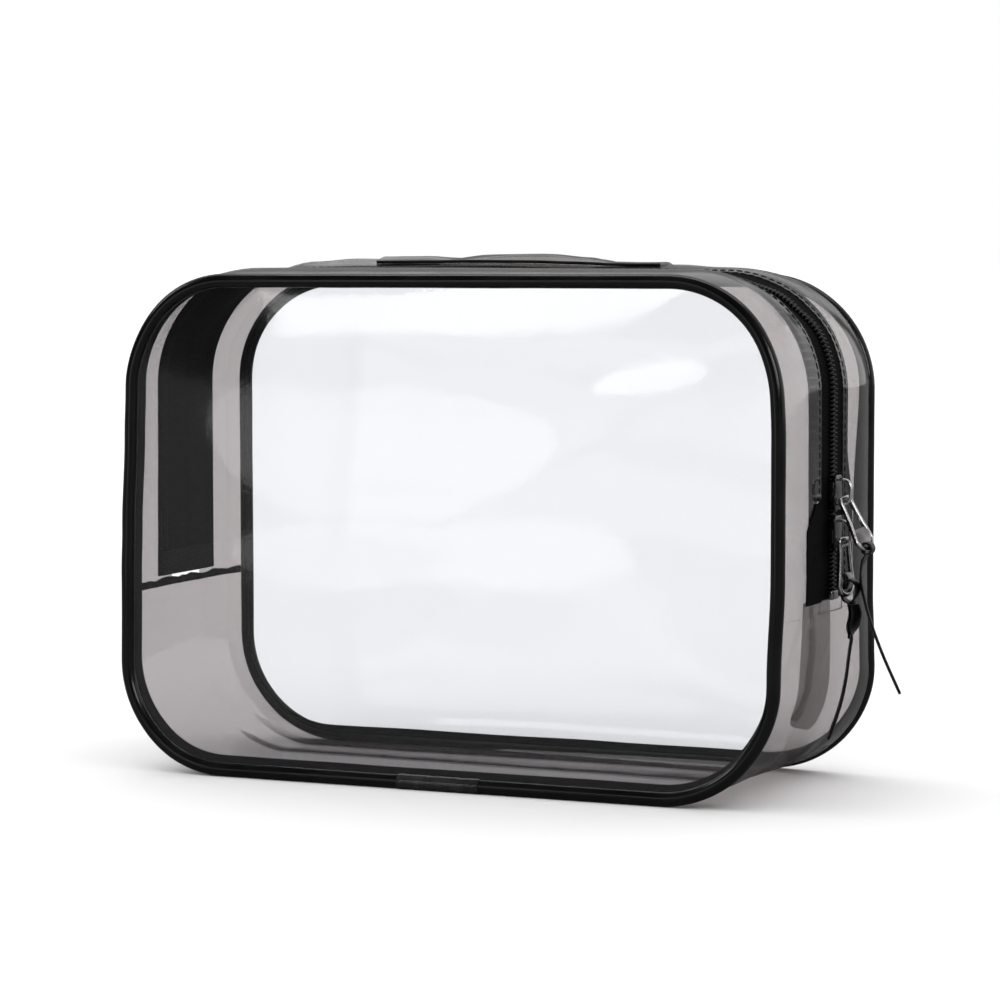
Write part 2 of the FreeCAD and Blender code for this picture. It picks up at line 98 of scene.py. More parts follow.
def outline(along):
    """Place (x, z) and outward normal (x, z) at this length along the outline.

    It starts in the middle of the base and goes to +X first, so the right side comes before the top.
    """
    rest = along % LENGTH
    x, z, heading = 0.0, 0.0, 0.0
    for kind, length in STRETCHES:
        step = min(rest, length)
        if kind == "run":
            x += step * math.cos(heading)
            z += step * math.sin(heading)
        else:
            turn = step / CORNER
            x += CORNER * (math.sin(heading + turn) - math.sin(heading))
            z += CORNER * (math.cos(heading) - math.cos(heading + turn))
            heading += turn
        rest -= step
        if rest <= 0:
            break
    return x, z, math.sin(heading), -math.cos(heading)


def normal_at(along):
    """The outline's outward direction at this length along it."""
    normal_x, normal_z = outline(along)[2:]
    return Vector((normal_x, 0, normal_z))


def right_side(height):
    """Length along the outline to this height on the straight part of the right side."""
    return FLAT + BEND + height - CORNER


SEAM_RIGHT, SEAM_LEFT = right_side(SEAM_Z), LENGTH - right_side(SEAM_Z)
ZIP_RIGHT, ZIP_LEFT = right_side(ZIP_Z), LENGTH - right_side(ZIP_Z)


def smooth_step(value):
    """Eases 0 to 1, and stays at 0 or 1 outside."""
    value = min(max(value, 0.0), 1.0)
    return value * value * (3 - 2 * value)


def crown_rise(along):
    """How far the gusset's middle stands outside the outline; the base stays flat."""
    z = outline(along)[1]
    start = 0.4 * CORNER
    return -INSET + (CROWN + INSET) * smooth_step((z - start) / (SEAM_Z - start))


# how far the soft walls stand out of true, in mm at heights in mm, along X
RIGHT_FRONT = [(0, -2.2), (14, -1.6), (45, 0.0), (78, 1.2), (125, 1.2), (152, 0.2), (170, 0.6)]
RIGHT_BACK = [(0, 4.6), (30, 4.4), (48, 3.8), (66, 3.2), (140, 3.2), (171, 2.8), (180, 3.2)]
LEFT_FRONT = [(0, -1.6), (20, -0.9), (72, -0.4), (88, 0.0), (122, 1.3), (139, 1.8), (157, 2.3),
              (178, 1.6)]
LEFT_BACK = [(0, -1.0), (30, -1.6), (150, -1.8), (180, -1.2)]


def read_table(table, height):
    """The value at a height in a list of (height, value), eased between its entries."""
    if height <= table[0][0]:
        return table[0][1]
    for (low, first), (high, second) in zip(table, table[1:]):
        if height <= high:
            return first + (second - first) * smooth_step((height - low) / (high - low))
    return table[-1][1]


def soften(point):
    """Move a point of the bag's walls the way the soft bag stands; its middle line stays true."""
    side = smooth_step(abs(point.x) / (0.9 * HALF))
    near = smooth_step((-point.y - 8 * MM) / (36 * MM))
    far = smooth_step((point.y - 8 * MM) / (36 * MM))
    front, back = (RIGHT_FRONT, RIGHT_BACK) if point.x > 0 else (LEFT_FRONT, LEFT_BACK)
    height = point.z / MM
    shift = near * read_table(front, height) + far * read_table(back, height)
    return Vector((point.x + side * shift * MM, point.y, point.z))


def ripple(along, across):
    """Soft unevenness of the gusset, none at the piping and none under the sliders."""
    edge = 1 - abs(across / EDGE) ** 4
    middle = 1 - math.exp(-(across / (11 * MM)) ** 2)
    waves = noise.noise(Vector((along * 7, across * 22, 1.7)))
    x, z = outline(along)[:2]
    corner = math.exp(-((abs(x) - 0.88 * HALF) / (13 * MM)) ** 2)
    corner *= math.exp(-((abs(z - TOP / 2) - 0.42 * TOP) / (15 * MM)) ** 2)
    folds = noise.noise(Vector((along * 12, across * 160, 8.3)))
    return (0.45 * waves + 0.55 * folds * corner) * MM * edge * middle


# along the top, at X in mm: how far the strip behind the zipper swells and the zipper sinks
TOP_SWELL = [(-125, 0.0), (-100, 1.6), (-84, 2.9), (-67, 4.0), (-50, 3.7), (-18, 3.2), (6, 2.4),
             (22, 1.9), (37, 1.6), (60, 1.8), (76, 0.8), (91, 0.2), (110, 0.0)]
TOP_SAG = [(-124, 0.0), (-114, 3.0), (-98, 4.5), (-84, 3.0), (-60, 1.1), (0, 0.5), (30, 1.2),
           (55, 2.4), (80, 3.8), (98, 3.8), (112, 2.0), (122, 0.0)]


def top_shape(along, across):
    """The rise of the gusset's soft top over its true shape."""
    x, z = outline(along)[:2]
    top = smooth_step((z - 138 * MM) / (28 * MM))
    swell = read_table(TOP_SWELL, x / MM) * math.exp(-((across - 31 * MM) / (9.5 * MM)) ** 2)
    sag = read_table(TOP_SAG, x / MM) * math.exp(-(across / (13 * MM)) ** 2)
    return top * (swell - sag) * MM


def base_waves(along, across):
    """Long creases of the gusset on the table, all standing up into the bag."""
    low = smooth_step((12 * MM - outline(along)[1]) / (10 * MM))
    crease = noise.noise(Vector((along * 4, across * 55, 5.3))) - 0.12
    ridge = 2.4 * math.exp(-((across - (41 * MM - 0.02 * along)) / (5 * MM)) ** 2)
    ridge += 1.7 * math.exp(-((across + (6 * MM + 0.03 * along)) / (8 * MM)) ** 2)
    return -low * (max(0.0, crease) * 1.6 + ridge) * MM * (1 - abs(across / EDGE) ** 10)


def gusset_point(along, across, depth=0.0):
    """A point of the gusset, depth inside its outer face."""
    x, z, normal_x, normal_z = outline(along)
    share = 1 - abs(across / EDGE) ** 2.8
    rise = -INSET + (crown_rise(along) + INSET) * share + ripple(along, across) - depth
    rise += top_shape(along, across) + base_waves(along, across)
    left = smooth_step((-0.55 * HALF - x) / (0.4 * HALF))
    shift = (3.1 + 2 * smooth_step(-across / (20 * MM))) * MM * left * (1 - (across / EDGE) ** 2)
    return soften(Vector((x + normal_x * rise, across + shift, z + normal_z * rise)))


def steps(start, end, size):
    """Evenly spaced values from start to end, about size apart."""
    count = max(1, round(abs(end - start) / size))
    return [start + (end - start) * index / count for index in range(count + 1)]


# ---- mesh helpers ----

def new_piece(name, points, faces, uvs=None, sharp=None):
    """An object from points and faces, smooth, with edges over the sharp angle kept crisp."""
    mesh = bpy.data.meshes.new(name)
    mesh.from_pydata([tuple(point) for point in points], [], faces)
    if uvs:
        layer = mesh.uv_layers.new(name="UVMap")
        for loop in mesh.loops:
            layer.data[loop.index].uv = uvs[loop.vertex_index]
    mesh.validate()
    mesh.polygons.foreach_set("use_smooth", [True] * len(mesh.polygons))
    if sharp:
        mesh.set_sharp_from_angle(angle=math.radians(sharp))
    piece = bpy.data.objects.new(name, mesh)
    scene.collection.objects.link(piece)
    return piece


def solid_piece(name, points, faces, uvs=None, sharp=None):
    """A new piece with every face's normal turned to the outside."""
    piece = new_piece(name, points, faces, uvs, sharp)
    made = bmesh.new()
    made.from_mesh(piece.data)
    bmesh.ops.recalc_face_normals(made, faces=made.faces)
    made.to_mesh(piece.data)
    made.free()
    return piece


def grid_faces(rows, columns, wrap_rows=False, wrap_columns=False, base=0):
    """Four-cornered faces over a grid of points kept row by row."""
    faces = []
    for row in range(rows if wrap_rows else rows - 1):
        for column in range(columns if wrap_columns else columns - 1):
            after_row, after_column = (row + 1) % rows, (column + 1) % columns
            faces.append((base + row * columns + column, base + after_row * columns + column,
                          base + after_row * columns + after_column,
                          base + row * columns + after_column))
    return faces


def tube_faces(rings, sides, base=0):
    """Faces of a tube with closed ends over points kept ring by ring."""
    last = base + (rings - 1) * sides
    ends = [tuple(range(base, base + sides)), tuple(reversed(range(last, last + sides)))]
    return grid_faces(rings, sides, wrap_columns=True, base=base) + ends


def sheet_piece(name, lengths, widths, place, thick):
    """A closed thin sheet over a grid of lengths and widths; place gives a point at a depth."""
    points, uvs = [], []
    for depth in (0.0, thick):
        for along in lengths:
            for across in widths:
                points.append(place(along, across, depth))
                uvs.append((along / MM, across / MM))
    rows, columns = len(lengths), len(widths)
    layer = rows * columns
    faces = grid_faces(rows, columns)
    faces += [tuple(reversed([index + layer for index in face])) for face in grid_faces(rows, columns)]
    rim = list(range(columns))
    rim += [row * columns + columns - 1 for row in range(1, rows)]
    rim += [(rows - 1) * columns + column for column in range(columns - 2, -1, -1)]
    rim += [row * columns for row in range(rows - 2, 0, -1)]
    for index, corner in enumerate(rim):
        after = rim[(index + 1) % len(rim)]
        faces.append((corner, after, after + layer, corner + layer))
    return solid_piece(name, points, faces, uvs, sharp=50)


def swept_piece(name, path, sides, section, closed=False):
    """A tube along path. Each path entry is (centre, first axis, second axis); section(index, turn)
    gives the two distances along those axes."""
    points, uvs = [], []
    travelled = 0.0
    for index, (centre, first, second) in enumerate(path):
        if index:
            travelled += (centre - path[index - 1][0]).length
        for side in range(sides):
            turn = 2 * math.pi * side / sides
            out, over = section(index, turn)
            points.append(centre + first * out + second * over)
            uvs.append((travelled / MM, side / sides))
    if closed:
        faces = grid_faces(len(path), sides, wrap_rows=True, wrap_columns=True)
    else:
        faces = tube_faces(len(path), sides)
    return solid_piece(name, points, faces, uvs, sharp=50)


def superellipse(turn, first, second, power=0.6):
    """A rounded rectangle's two distances at this turn."""
    flat, tall = math.cos(turn), math.sin(turn)
    return (first * math.copysign(abs(flat) ** power, flat),
            second * math.copysign(abs(tall) ** power, tall))


def place_piece(piece, material, body, slot, *nodes):
    """Give a piece its material and the body it rides on, and hide the nodes it stands for; slot is not
    used.
    """
    piece.data.materials.append(material)
    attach(piece, body)
    if nodes:
        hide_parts(*nodes)
    return piece


# ---- materials ----

def new_material(name):
    """A node material with its tree and its Principled shader."""
    material = bpy.data.materials.new(name)
    material.use_nodes = True
    return material, material.node_tree, material.node_tree.nodes["Principled BSDF"]


def add_node(tree, kind, **values):
    """A node with some of its properties and input values set by name."""
    node = tree.nodes.new(kind)
    for key, value in values.items():
        if key in node.inputs:
            node.inputs[key].default_value = value
        else:
            setattr(node, key, value)
    return node


def wire(source, target):
    """Link an output socket to an input socket of the same tree."""
    target.id_data.links.new(source, target)


def set_inputs(node, **values):
    """Set sockets by name, spaces written as underscores."""
    for key, value in values.items():
        node.inputs[key.replace("_", " ")].default_value = value


def noise_in(tree, scale, detail, stretch=(1, 1, 1)):
    """The factor of noise over the object's own coordinates in metres."""
    place = add_node(tree, "ShaderNodeTexCoord")
    mapping = add_node(tree, "ShaderNodeMapping", Scale=stretch)
    texture = add_node(tree, "ShaderNodeTexNoise", Scale=scale, Detail=detail)
    wire(place.outputs["Object"], mapping.inputs["Vector"])
    wire(mapping.outputs["Vector"], texture.inputs["Vector"])
    return texture.outputs["Fac"]


def ramp_to(target, source, low, high, start=0.35, stop=0.65):
    """Feed a factor, mapped between two grey levels or two colours, to a socket."""
    ramp = add_node(target.id_data, "ShaderNodeValToRGB")
    ends = ramp.color_ramp.elements
    ends[0].position, ends[1].position = start, stop
    for end, colour in zip(ends, (low, high)):
        end.color = (*colour, 1.0) if isinstance(colour, tuple) else (colour, colour, colour, 1.0)
    wire(source, ramp.inputs["Fac"])
    wire(ramp.outputs["Color"], target)


def bump_from(height, strength, distance, normal=None):
    """The normal of a relief, over the plain surface or over another relief."""
    bump = add_node(height.id_data, "ShaderNodeBump", Strength=strength, Distance=distance)
    wire(height, bump.inputs["Height"])
    if normal is not None:
        wire(normal, bump.inputs["Normal"])
    return bump.outputs["Normal"]


def vinyl_film(name, tint, haze, haze_colour, roughness, relief=0.3):
    """See-through soft vinyl: a tinted window, a little haze in it and a wet gloss on it."""
    material, tree, shader = new_material(name)
    set_inputs(shader, Base_Color=(*haze_colour, 1.0), Roughness=0.45, Specular_IOR_Level=0.0)
    window = add_node(tree, "ShaderNodeBsdfTransparent", Color=(*tint, 1.0))
    gloss = add_node(tree, "ShaderNodeBsdfGlossy", Color=(1.0, 1.0, 1.0, 1.0))
    ramp_to(gloss.inputs["Roughness"], noise_in(tree, 14.0, 2.0), roughness * 0.6, roughness * 1.5)
    fine = bump_from(noise_in(tree, 420.0, 2.0), 0.05, 0.0002)
    soft = bump_from(noise_in(tree, 38.0, 2.0), relief, 0.0012, fine)
    # both faces of the thin sheet reflect alike, so the share comes from the angle alone
    facing = add_node(tree, "ShaderNodeLayerWeight", Blend=0.5)
    steep = add_node(tree, "ShaderNodeMath", operation="POWER")
    mirror = add_node(tree, "ShaderNodeMath", operation="MULTIPLY_ADD")
    steep.inputs[1].default_value = 5.0
    mirror.inputs[1].default_value, mirror.inputs[2].default_value = 0.96, 0.04
    wire(facing.outputs["Facing"], steep.inputs[0])
    wire(steep.outputs["Value"], mirror.inputs[0])
    for node in (gloss, facing):
        wire(soft, node.inputs["Normal"])
    body = add_node(tree, "ShaderNodeMixShader", Fac=haze)
    skin = add_node(tree, "ShaderNodeMixShader")
    wire(window.outputs["BSDF"], body.inputs[1])
    wire(shader.outputs["BSDF"], body.inputs[2])
    wire(mirror.outputs["Value"], skin.inputs["Fac"])
    wire(body.outputs["Shader"], skin.inputs[1])
    wire(gloss.outputs["BSDF"], skin.inputs[2])
    wire(skin.outputs["Shader"], tree.nodes["Material Output"].inputs["Surface"])
    return material


def grained(name, colours, gloss, blotch, grain, relief, **values):
    """A solid material: blotches vary its colour and gloss, grain (scale, detail) its relief."""
    material, tree, shader = new_material(name)
    patches = noise_in(tree, blotch, 3.0)
    ramp_to(shader.inputs["Base Color"], patches, *colours)
    ramp_to(shader.inputs["Roughness"], patches, *gloss)
    wire(bump_from(noise_in(tree, *grain), relief, 0.0002), shader.inputs["Normal"])
    set_inputs(shader, **values)
    return material


def smooth_black(name, tone, gloss, grain_scale, relief, coat=0.0):
    """Black plastic or vinyl with a fine grain and uneven gloss."""
    colours = ((tone * 0.6,) * 3, (tone * 1.5,) * 3)
    return grained(name, colours, gloss, 180.0, (grain_scale, 3.0), relief,
                   Specular_IOR_Level=0.35, Coat_Weight=coat)


def woven(name, dark, light, pitch, ribs):
    """A black woven band: warp threads along it, weft across, and a ribbed or plain relief."""
    material, tree, shader = new_material(name)
    place = add_node(tree, "ShaderNodeTexCoord")
    cross = add_node(tree, "ShaderNodeMath", operation="MULTIPLY")
    for socket, direction, scale in zip(cross.inputs, ("X", "Y"), (1.0 / pitch, ribs / pitch)):
        wave = add_node(tree, "ShaderNodeTexWave", bands_direction=direction, Distortion=0.6,
                        Detail=1.0)
        set_inputs(wave, Scale=scale * 0.314, Detail_Scale=2.0)
        wire(place.outputs["UV"], wave.inputs["Vector"])
        wire(wave.outputs["Fac"], socket)
    relief = add_node(tree, "ShaderNodeMath", operation="ADD")
    wire(cross.outputs["Value"], relief.inputs[0])
    wire(noise_in(tree, 1500.0, 2.0), relief.inputs[1])
    ramp_to(shader.inputs["Base Color"], relief.outputs["Value"], dark, light, 0.45, 1.15)
    wire(bump_from(relief.outputs["Value"], 0.6, 0.00025), shader.inputs["Normal"])
    set_inputs(shader, Roughness=0.75, Specular_IOR_Level=0.05, Sheen_Weight=0.004,
               Sheen_Roughness=0.4)
    return material


def plated_metal(name, dark, light):
    """Plated metal with faint handling marks and a darker tone in patches."""
    material, tree, shader = new_material(name)
    ramp_to(shader.inputs["Base Color"], noise_in(tree, 260.0, 3.0), dark, light, 0.3, 0.7)
    marks = noise_in(tree, 900.0, 4.0, (1, 1, 0.12))
    ramp_to(shader.inputs["Roughness"], marks, 0.16, 0.3, 0.4, 0.7)
    wire(bump_from(marks, 0.08, 0.0001), shader.inputs["Normal"])
    set_inputs(shader, Metallic=1.0)
    return material


CLEAR = vinyl_film("clear_vinyl", (0.947, 0.950, 0.959), 0.003, (0.85, 0.87, 0.92), 0.06, 0.03)
SMOKE = vinyl_film("smoke_vinyl", (0.672, 0.645, 0.643), 0.008, (0.30, 0.28, 0.28), 0.07)
HANDLE = vinyl_film("handle_vinyl", (0.46, 0.44, 0.437), 0.03, (0.20, 0.19, 0.19), 0.09)
PATCH_FILM = vinyl_film("patch_vinyl", (0.70, 0.68, 0.68), 0.10, (0.16, 0.15, 0.16), 0.2)
PIPING = grained("piping_vinyl", ((0.0012, 0.0012, 0.0014), (0.004, 0.0038, 0.004)), (0.16, 0.27), 60.0,
                 (900.0, 2.0), 0.12, Specular_IOR_Level=0.3, Coat_Weight=0.2, Coat_Roughness=0.08)
TAPE = woven("zipper_tape", (0.0008, 0.0008, 0.0009), (0.0045, 0.0042, 0.0046), 0.9, 1.0)
RIBBON = woven("binding_ribbon", (0.0008, 0.0008, 0.0009), (0.005, 0.0047, 0.0051), 1.3, 0.5)
PATCH = woven("end_patch", (0.004, 0.004, 0.0045), (0.03, 0.029, 0.031), 0.8, 1.0)
COIL = smooth_black("nylon_coil", 0.0025, (0.42, 0.55), 2200.0, 0.2)
THREAD = smooth_black("black_thread", 0.005, (0.55, 0.7), 5200.0, 0.6)
STRAP = smooth_black("strap_vinyl", 0.003, (0.3, 0.45), 1300.0, 0.25, 0.15)
SLEEVE = smooth_black("sleeve_vinyl", 0.02, (0.12, 0.22), 300.0, 0.3, 0.6)
ENAMEL = smooth_black("slider_enamel", 0.004, (0.16, 0.28), 700.0, 0.08, 0.5)
NICKEL = plated_metal("gunmetal_nickel", (0.55, 0.54, 0.55), (0.90, 0.88, 0.88))
GUNMETAL = plated_metal("dark_gunmetal", (0.20, 0.19, 0.20), (0.40, 0.38, 0.39))


# ---- panels and piping ----

def panel_point(along, reach, side, depth):
    """A point of a panel: reach is 0 at the middle and 1 at the edge; it pillows outwards."""
    x, z, normal_x, normal_z = outline(along)
    inset = 2 * BEAD - 1.2 * MM
    x, z = x - normal_x * inset, z - normal_z * inset
    middle = TOP / 2
    x, z = x * reach, middle + (z - middle) * reach
    pillow = 3.2 * MM * (1 - reach ** 2.4)
    if side > 0:
        pillow += 3.0 * MM * (1 - reach ** 9)
    waves = noise.noise(Vector((x * 11, z * 15, 4.2 * side)))
    swell = noise.noise(Vector((x * 26, z * 34, 9.1 * side)))
    pillow += (0.55 * waves + 0.10 * swell) * MM * (1 - reach ** 6)
    return soften(Vector((x, side * (BEAD_Y + FILM / 2 + pillow - depth), z)))


def panel(name, side):
    """A clear panel, its grid running round and in towards the middle."""
    rounds = steps(0, LENGTH, 4 * MM)[:-1]
    reaches = [1 - (1 - index / 34) ** 1.25 for index in range(35)][1:]
    points, uvs = [], []
    for depth in (0.0, FILM):
        points.append(panel_point(0, 0, side, depth))
        uvs.append((0, 0))
        for reach in reaches:
            for along in rounds:
                points.append(panel_point(along, reach, side, depth))
                uvs.append((points[-1].x / MM, points[-1].z / MM))
    count, rings = len(rounds), len(reaches)
    layer = 1 + count * rings
    faces = []
    for base, flip in ((0, False), (layer, True)):
        made = [(base, base + 1 + (index + 1) % count, base + 1 + index) for index in range(count)]
        made += grid_faces(rings, count, wrap_columns=True, base=base + 1)
        faces += [tuple(reversed(face)) for face in made] if flip else made
    last = 1 + (rings - 1) * count
    for index in range(count):
        after = (index + 1) % count
        faces.append((last + index, last + after, layer + last + after, layer + last + index))
    piece = solid_piece(name + "_film", points, faces, uvs, sharp=50)
    place_piece(piece, CLEAR, "bag", "clear_sheet", name)


def cord_frame(along, side):
    """The piping's middle at this length, and the two directions across it."""
    x, z = outline(along)[:2]
    normal = normal_at(along)
    return soften(Vector((x, side * BEAD_Y, z)) - normal * BEAD), normal, Vector((0, 1, 0))


def bead(name, side):
    """The piping: a cord under drawn vinyl, a little uneven."""
    path = []
    for along in steps(0, LENGTH, 2.5 * MM)[:-1]:
        path.append(cord_frame(along, side))

    def round_section(index, turn):
        point = path[index][0]
        lumps = noise.noise(Vector((point.x * 60, 3.0 * side, point.z * 60)))
        radius = BEAD * (0.985 + 0.03 * lumps)
        return min(radius * math.cos(turn), BEAD), radius * math.sin(turn)

    piece = swept_piece(name + "_bead", path, 20, round_section, closed=True)
    place_piece(piece, PIPING, "bag", "piping", name)


def seam_lip(name, side):
    """The ribbon over the sewn edges inside the bag; it leans most inwards at the bottom."""
    path = []
    for along in steps(0, LENGTH, 3 * MM)[:-1]:
        x, z, normal_x, normal_z = outline(along)
        normal = Vector((normal_x, 0, normal_z))
        inward = 0.3 + (0.09 if normal_x > 0 else 0.12) * normal_x - 0.275 * normal_z
        gap = smooth_step((z - 102 * MM) / (40 * MM)) + smooth_step((66 * MM - z) / (12 * MM))
        inward -= 0.45 * gap * max(normal_x, 0.0) * (side > 0)
        inward += 0.06 * noise.noise(Vector((x * 30, 5.0 * side, z * 30)))
        reach = (-normal * inward + Vector((0, -side, 0)) * math.sqrt(1 - inward ** 2)).normalized()
        start = soften(Vector((x, side * (BEAD_Y - 1 * MM), z)) - normal * (2 * BEAD - 1.2 * MM))
        across = Vector((-normal_z, 0, normal_x)).cross(reach)
        path.append((start + reach * 2.4 * MM, reach, across))
    piece = swept_piece(name + "_lip", path, 12,
                        lambda index, turn: superellipse(turn, 2.7 * MM, 0.55 * MM, 0.7), closed=True)
    place_piece(piece, RIBBON, "bag", "binding")


def piping_joint():
    """The wrapped joint of the front piping's ends, near the middle of the base."""
    path = []
    lengths = steps(-15 * MM, 16 * MM, 1 * MM)
    for along in lengths:
        path.append(cord_frame(along, -1))

    def sleeve(index, turn):
        seam = 0.14 * MM * (index in (1, 2, len(lengths) - 3, len(lengths) - 2))
        lump = 0.12 * MM * noise.noise(Vector((index * 0.35, turn, 2.0)))
        radius = BEAD + 0.22 * MM + seam + lump
        return min(radius * math.cos(turn), BEAD), radius * math.sin(turn)

    piece = swept_piece("front_piping_joint", path, 20, sleeve)
    place_piece(piece, SLEEVE, "bag", "piping")


panel("front_panel", -1)
panel("back_panel", 1)
piping_joint()
seam_lip("front_piping", -1)
seam_lip("back_piping", 1)
bead("front_piping", -1)
bead("back_piping", 1)


# ---- gusset ----

def gusset_sheet(node, start, end, near, far):
    """One smoke sheet of the gusset between two lengths and two distances across."""
    piece = sheet_piece(node + "_film", steps(start, end, 3 * MM), steps(near, far, 2 * MM),
                        gusset_point, FILM)
    place_piece(piece, SMOKE, "bag", "smoke_sheet", node)


gusset_sheet("zip_gusset_front", SEAM_RIGHT, SEAM_LEFT, -EDGE, -STRIP_EDGE)
gusset_sheet("zip_gusset_back", SEAM_RIGHT, SEAM_LEFT, STRIP_EDGE, EDGE)
gusset_sheet("lower_gusset", SEAM_LEFT - LENGTH, SEAM_RIGHT, -EDGE, EDGE)


# ---- zipper ----

TOOTH_PITCH = 1.5 * MM


def tape(label, side):
    """One woven tape, with the thick sewn edge that carries the coil."""
    def place(along, across, inner):
        cord = 0.25 * MM * math.exp(-((abs(across) - 4.6 * MM) / (0.8 * MM)) ** 2)
        return gusset_point(along, across, FILM + inner - (cord if inner == 0 else 0))

    piece = sheet_piece(label + "_woven", steps(ZIP_RIGHT, ZIP_LEFT, 3 * MM),
                        steps(side * 0.1 * MM, side * TAPE_EDGE, 0.7 * MM), place, TAPE_THICK)
    place_piece(piece, TAPE, "bag", "zip_tape", label)


def coil(label, side):
    """The nylon coil: one slanted loop a tooth, its head meeting the other side's heads."""
    count = int((ZIP_LEFT - ZIP_RIGHT - 4 * MM) / TOOTH_PITCH)
    shift = 0.0 if side > 0 else TOOTH_PITCH / 2
    shape = [(3.1, 0.15, -0.35), (3.15, 0.75, -0.3), (2.6, 1.15, -0.2), (1.2, 1.2, 0.0),
             (0.1, 1.15, 0.1), (-0.55, 0.95, 0.1), (-0.75, 0.5, 0.1), (-0.4, 0.15, 0.1)]
    radius, sides = 0.34 * MM, 6
    points, faces = [], []
    for tooth in range(count):
        along = ZIP_RIGHT + 2 * MM + shift + tooth * TOOTH_PITCH
        normal = normal_at(along)
        run = Vector((-normal.z, 0, normal.x))
        foot = gusset_point(along, 0, FILM)
        base = len(points)
        for index, (across, rise, slant) in enumerate(shape):
            before = shape[max(index - 1, 0)]
            after = shape[min(index + 1, len(shape) - 1)]
            heading = Vector((0, side * (after[0] - before[0]), after[1] - before[1])).normalized()
            turned = Vector((0, -heading.z, heading.y))
            centre = foot + normal * rise * MM + run * slant * MM
            centre.y += side * across * MM
            wide = 1.25 if across < 0.2 else 1.0
            for corner in range(sides):
                turn = 2 * math.pi * corner / sides
                offset = turned * math.cos(turn) * radius
                spread = run * math.sin(turn) * radius * wide
                points.append(centre + Vector((0, offset.y, 0)) + normal * offset.z + spread)
        faces += tube_faces(len(shape), sides, base)
    piece = solid_piece(label + "_teeth", points, faces)
    place_piece(piece, COIL, "bag", "zip_coil", label)


def binding(label, side):
    """The ribbon sewn over the edges where a smoke strip meets its tape.

    Behind the zipper on the right it is folded tighter.
    """
    middle, half = (TAPE_EDGE + BINDING_EDGE) / 2, (BINDING_EDGE - TAPE_EDGE) / 2

    def place(along, across, inner):
        rounding = (abs(across) - middle) / half
        if side > 0:
            x, z = outline(along)[:2]
            tight = smooth_step((x - 60 * MM) / (45 * MM)) * smooth_step((z - 98 * MM) / (22 * MM))
            across = TAPE_EDGE + (across - TAPE_EDGE) * (1 - 0.72 * tight)
        fold = 0.25 * MM * (1 - rounding ** 4)
        sway = 0.3 * MM * noise.noise(Vector((along * 50, 3.0 * side, 0))) * (rounding > 0.99)
        return gusset_point(along, across + side * sway, FILM + (inner + fold if inner else 0))

    piece = sheet_piece(label + "_ribbon", steps(ZIP_RIGHT, ZIP_LEFT, 2.5 * MM),
                        steps(side * TAPE_EDGE, side * BINDING_EDGE, 0.8 * MM), place, 0.5 * MM)
    place_piece(piece, RIBBON, "bag", "binding", label)


def seam(label, near_end, direction):
    """The narrow welt where the zipper's gusset is sewn to the lower one, drawn up in wrinkles."""
    def place(along, across, inner):
        share = (along - near_end) * direction / (2.6 * MM)
        sway = noise.noise(Vector((across * 90, near_end * 7, share)))
        pucker = 0.35 * MM * math.sin(across / (1.9 * MM) + 2.2 * math.sin(across * 210))
        swell = 0.7 * MM * (1 - (2 * share - 1) ** 2)
        lift = -0.15 * MM - swell if inner == 0 else FILM + 0.3 * MM + swell * 0.5
        return gusset_point(along + (0.55 * MM * sway + 0.35 * pucker) * (0.3 + share), across,
                            lift + 0.3 * pucker)

    edge = EDGE - 1.6 * MM
    lengths = [near_end + direction * share * 2.6 * MM for share in (0, 0.12, 0.3, 0.5, 0.7, 0.88, 1)]
    piece = sheet_piece(label + "_welt", lengths, steps(-edge, edge, 0.8 * MM), place, 1 * MM)
    place_piece(piece, RIBBON, "bag", "binding", label)


def end_patch(label, near_end, direction, reach):
    """The stiffened cloth end of the two tapes, inside the bag."""
    def place(along, across, inner):
        return gusset_point(along, across, FILM + TAPE_THICK + 0.25 * MM + inner)

    lengths = steps(near_end, near_end + direction * reach, 0.5 * MM)
    piece = sheet_piece(label, lengths, steps(-21 * MM, 21 * MM, 1 * MM), place, 0.35 * MM)
    place_piece(piece, PATCH, "bag", "binding")


# where the painted dark reflection lies: near and far across, and how far along; the weld below spans
# the near width
PAINTED_TAB_NEAR, PAINTED_TAB_FAR, PAINTED_TAB_TALL = -12.2 * MM, -28 * MM, 34 * MM


def weld(label, start):
    """The smoke sheet between the lower gusset and the zipper's end on the right."""
    piece = sheet_piece(label + "_overlap", steps(start - 0.4 * MM, ZIP_RIGHT + 0.5 * MM, 0.6 * MM),
                        steps(PAINTED_TAB_NEAR, -PAINTED_TAB_NEAR, 1.2 * MM),
                        lambda along, across, inner: gusset_point(along, across, 0.02 * MM + inner),
                        FILM)
    place_piece(piece, SMOKE, "bag", "smoke_sheet", label)


def end_tab_painted_reflection():
    """A black woven sheet outside the smoke film over the zipper's end on the right, in front of the
    sliders: the black tape end under the film is real, and the sheet laid outside the film is painted
    dark reflection, standing in for the film's dark reflection there.
    """
    def place(along, across, inner):
        share = (along - ZIP_RIGHT) / PAINTED_TAB_TALL
        outer = PAINTED_TAB_FAR + 9 * MM * smooth_step((share - 0.72) / 0.28)
        shifted = PAINTED_TAB_NEAR + (across - PAINTED_TAB_NEAR) * (outer - PAINTED_TAB_NEAR) / (PAINTED_TAB_FAR - PAINTED_TAB_NEAR)
        return gusset_point(along, shifted, inner - 0.45 * MM)

    piece = sheet_piece("zip_end_painted_reflection_tab_right", steps(ZIP_RIGHT, ZIP_RIGHT + PAINTED_TAB_TALL, 1.5 * MM),
                        steps(PAINTED_TAB_FAR, PAINTED_TAB_NEAR, 1 * MM), place, 0.4 * MM)
    # painted dark reflection: black cloth outside the film hides the film's own reflection over the
    # real black tape end
    place_piece(piece, TAPE, "bag", "zip_tape")


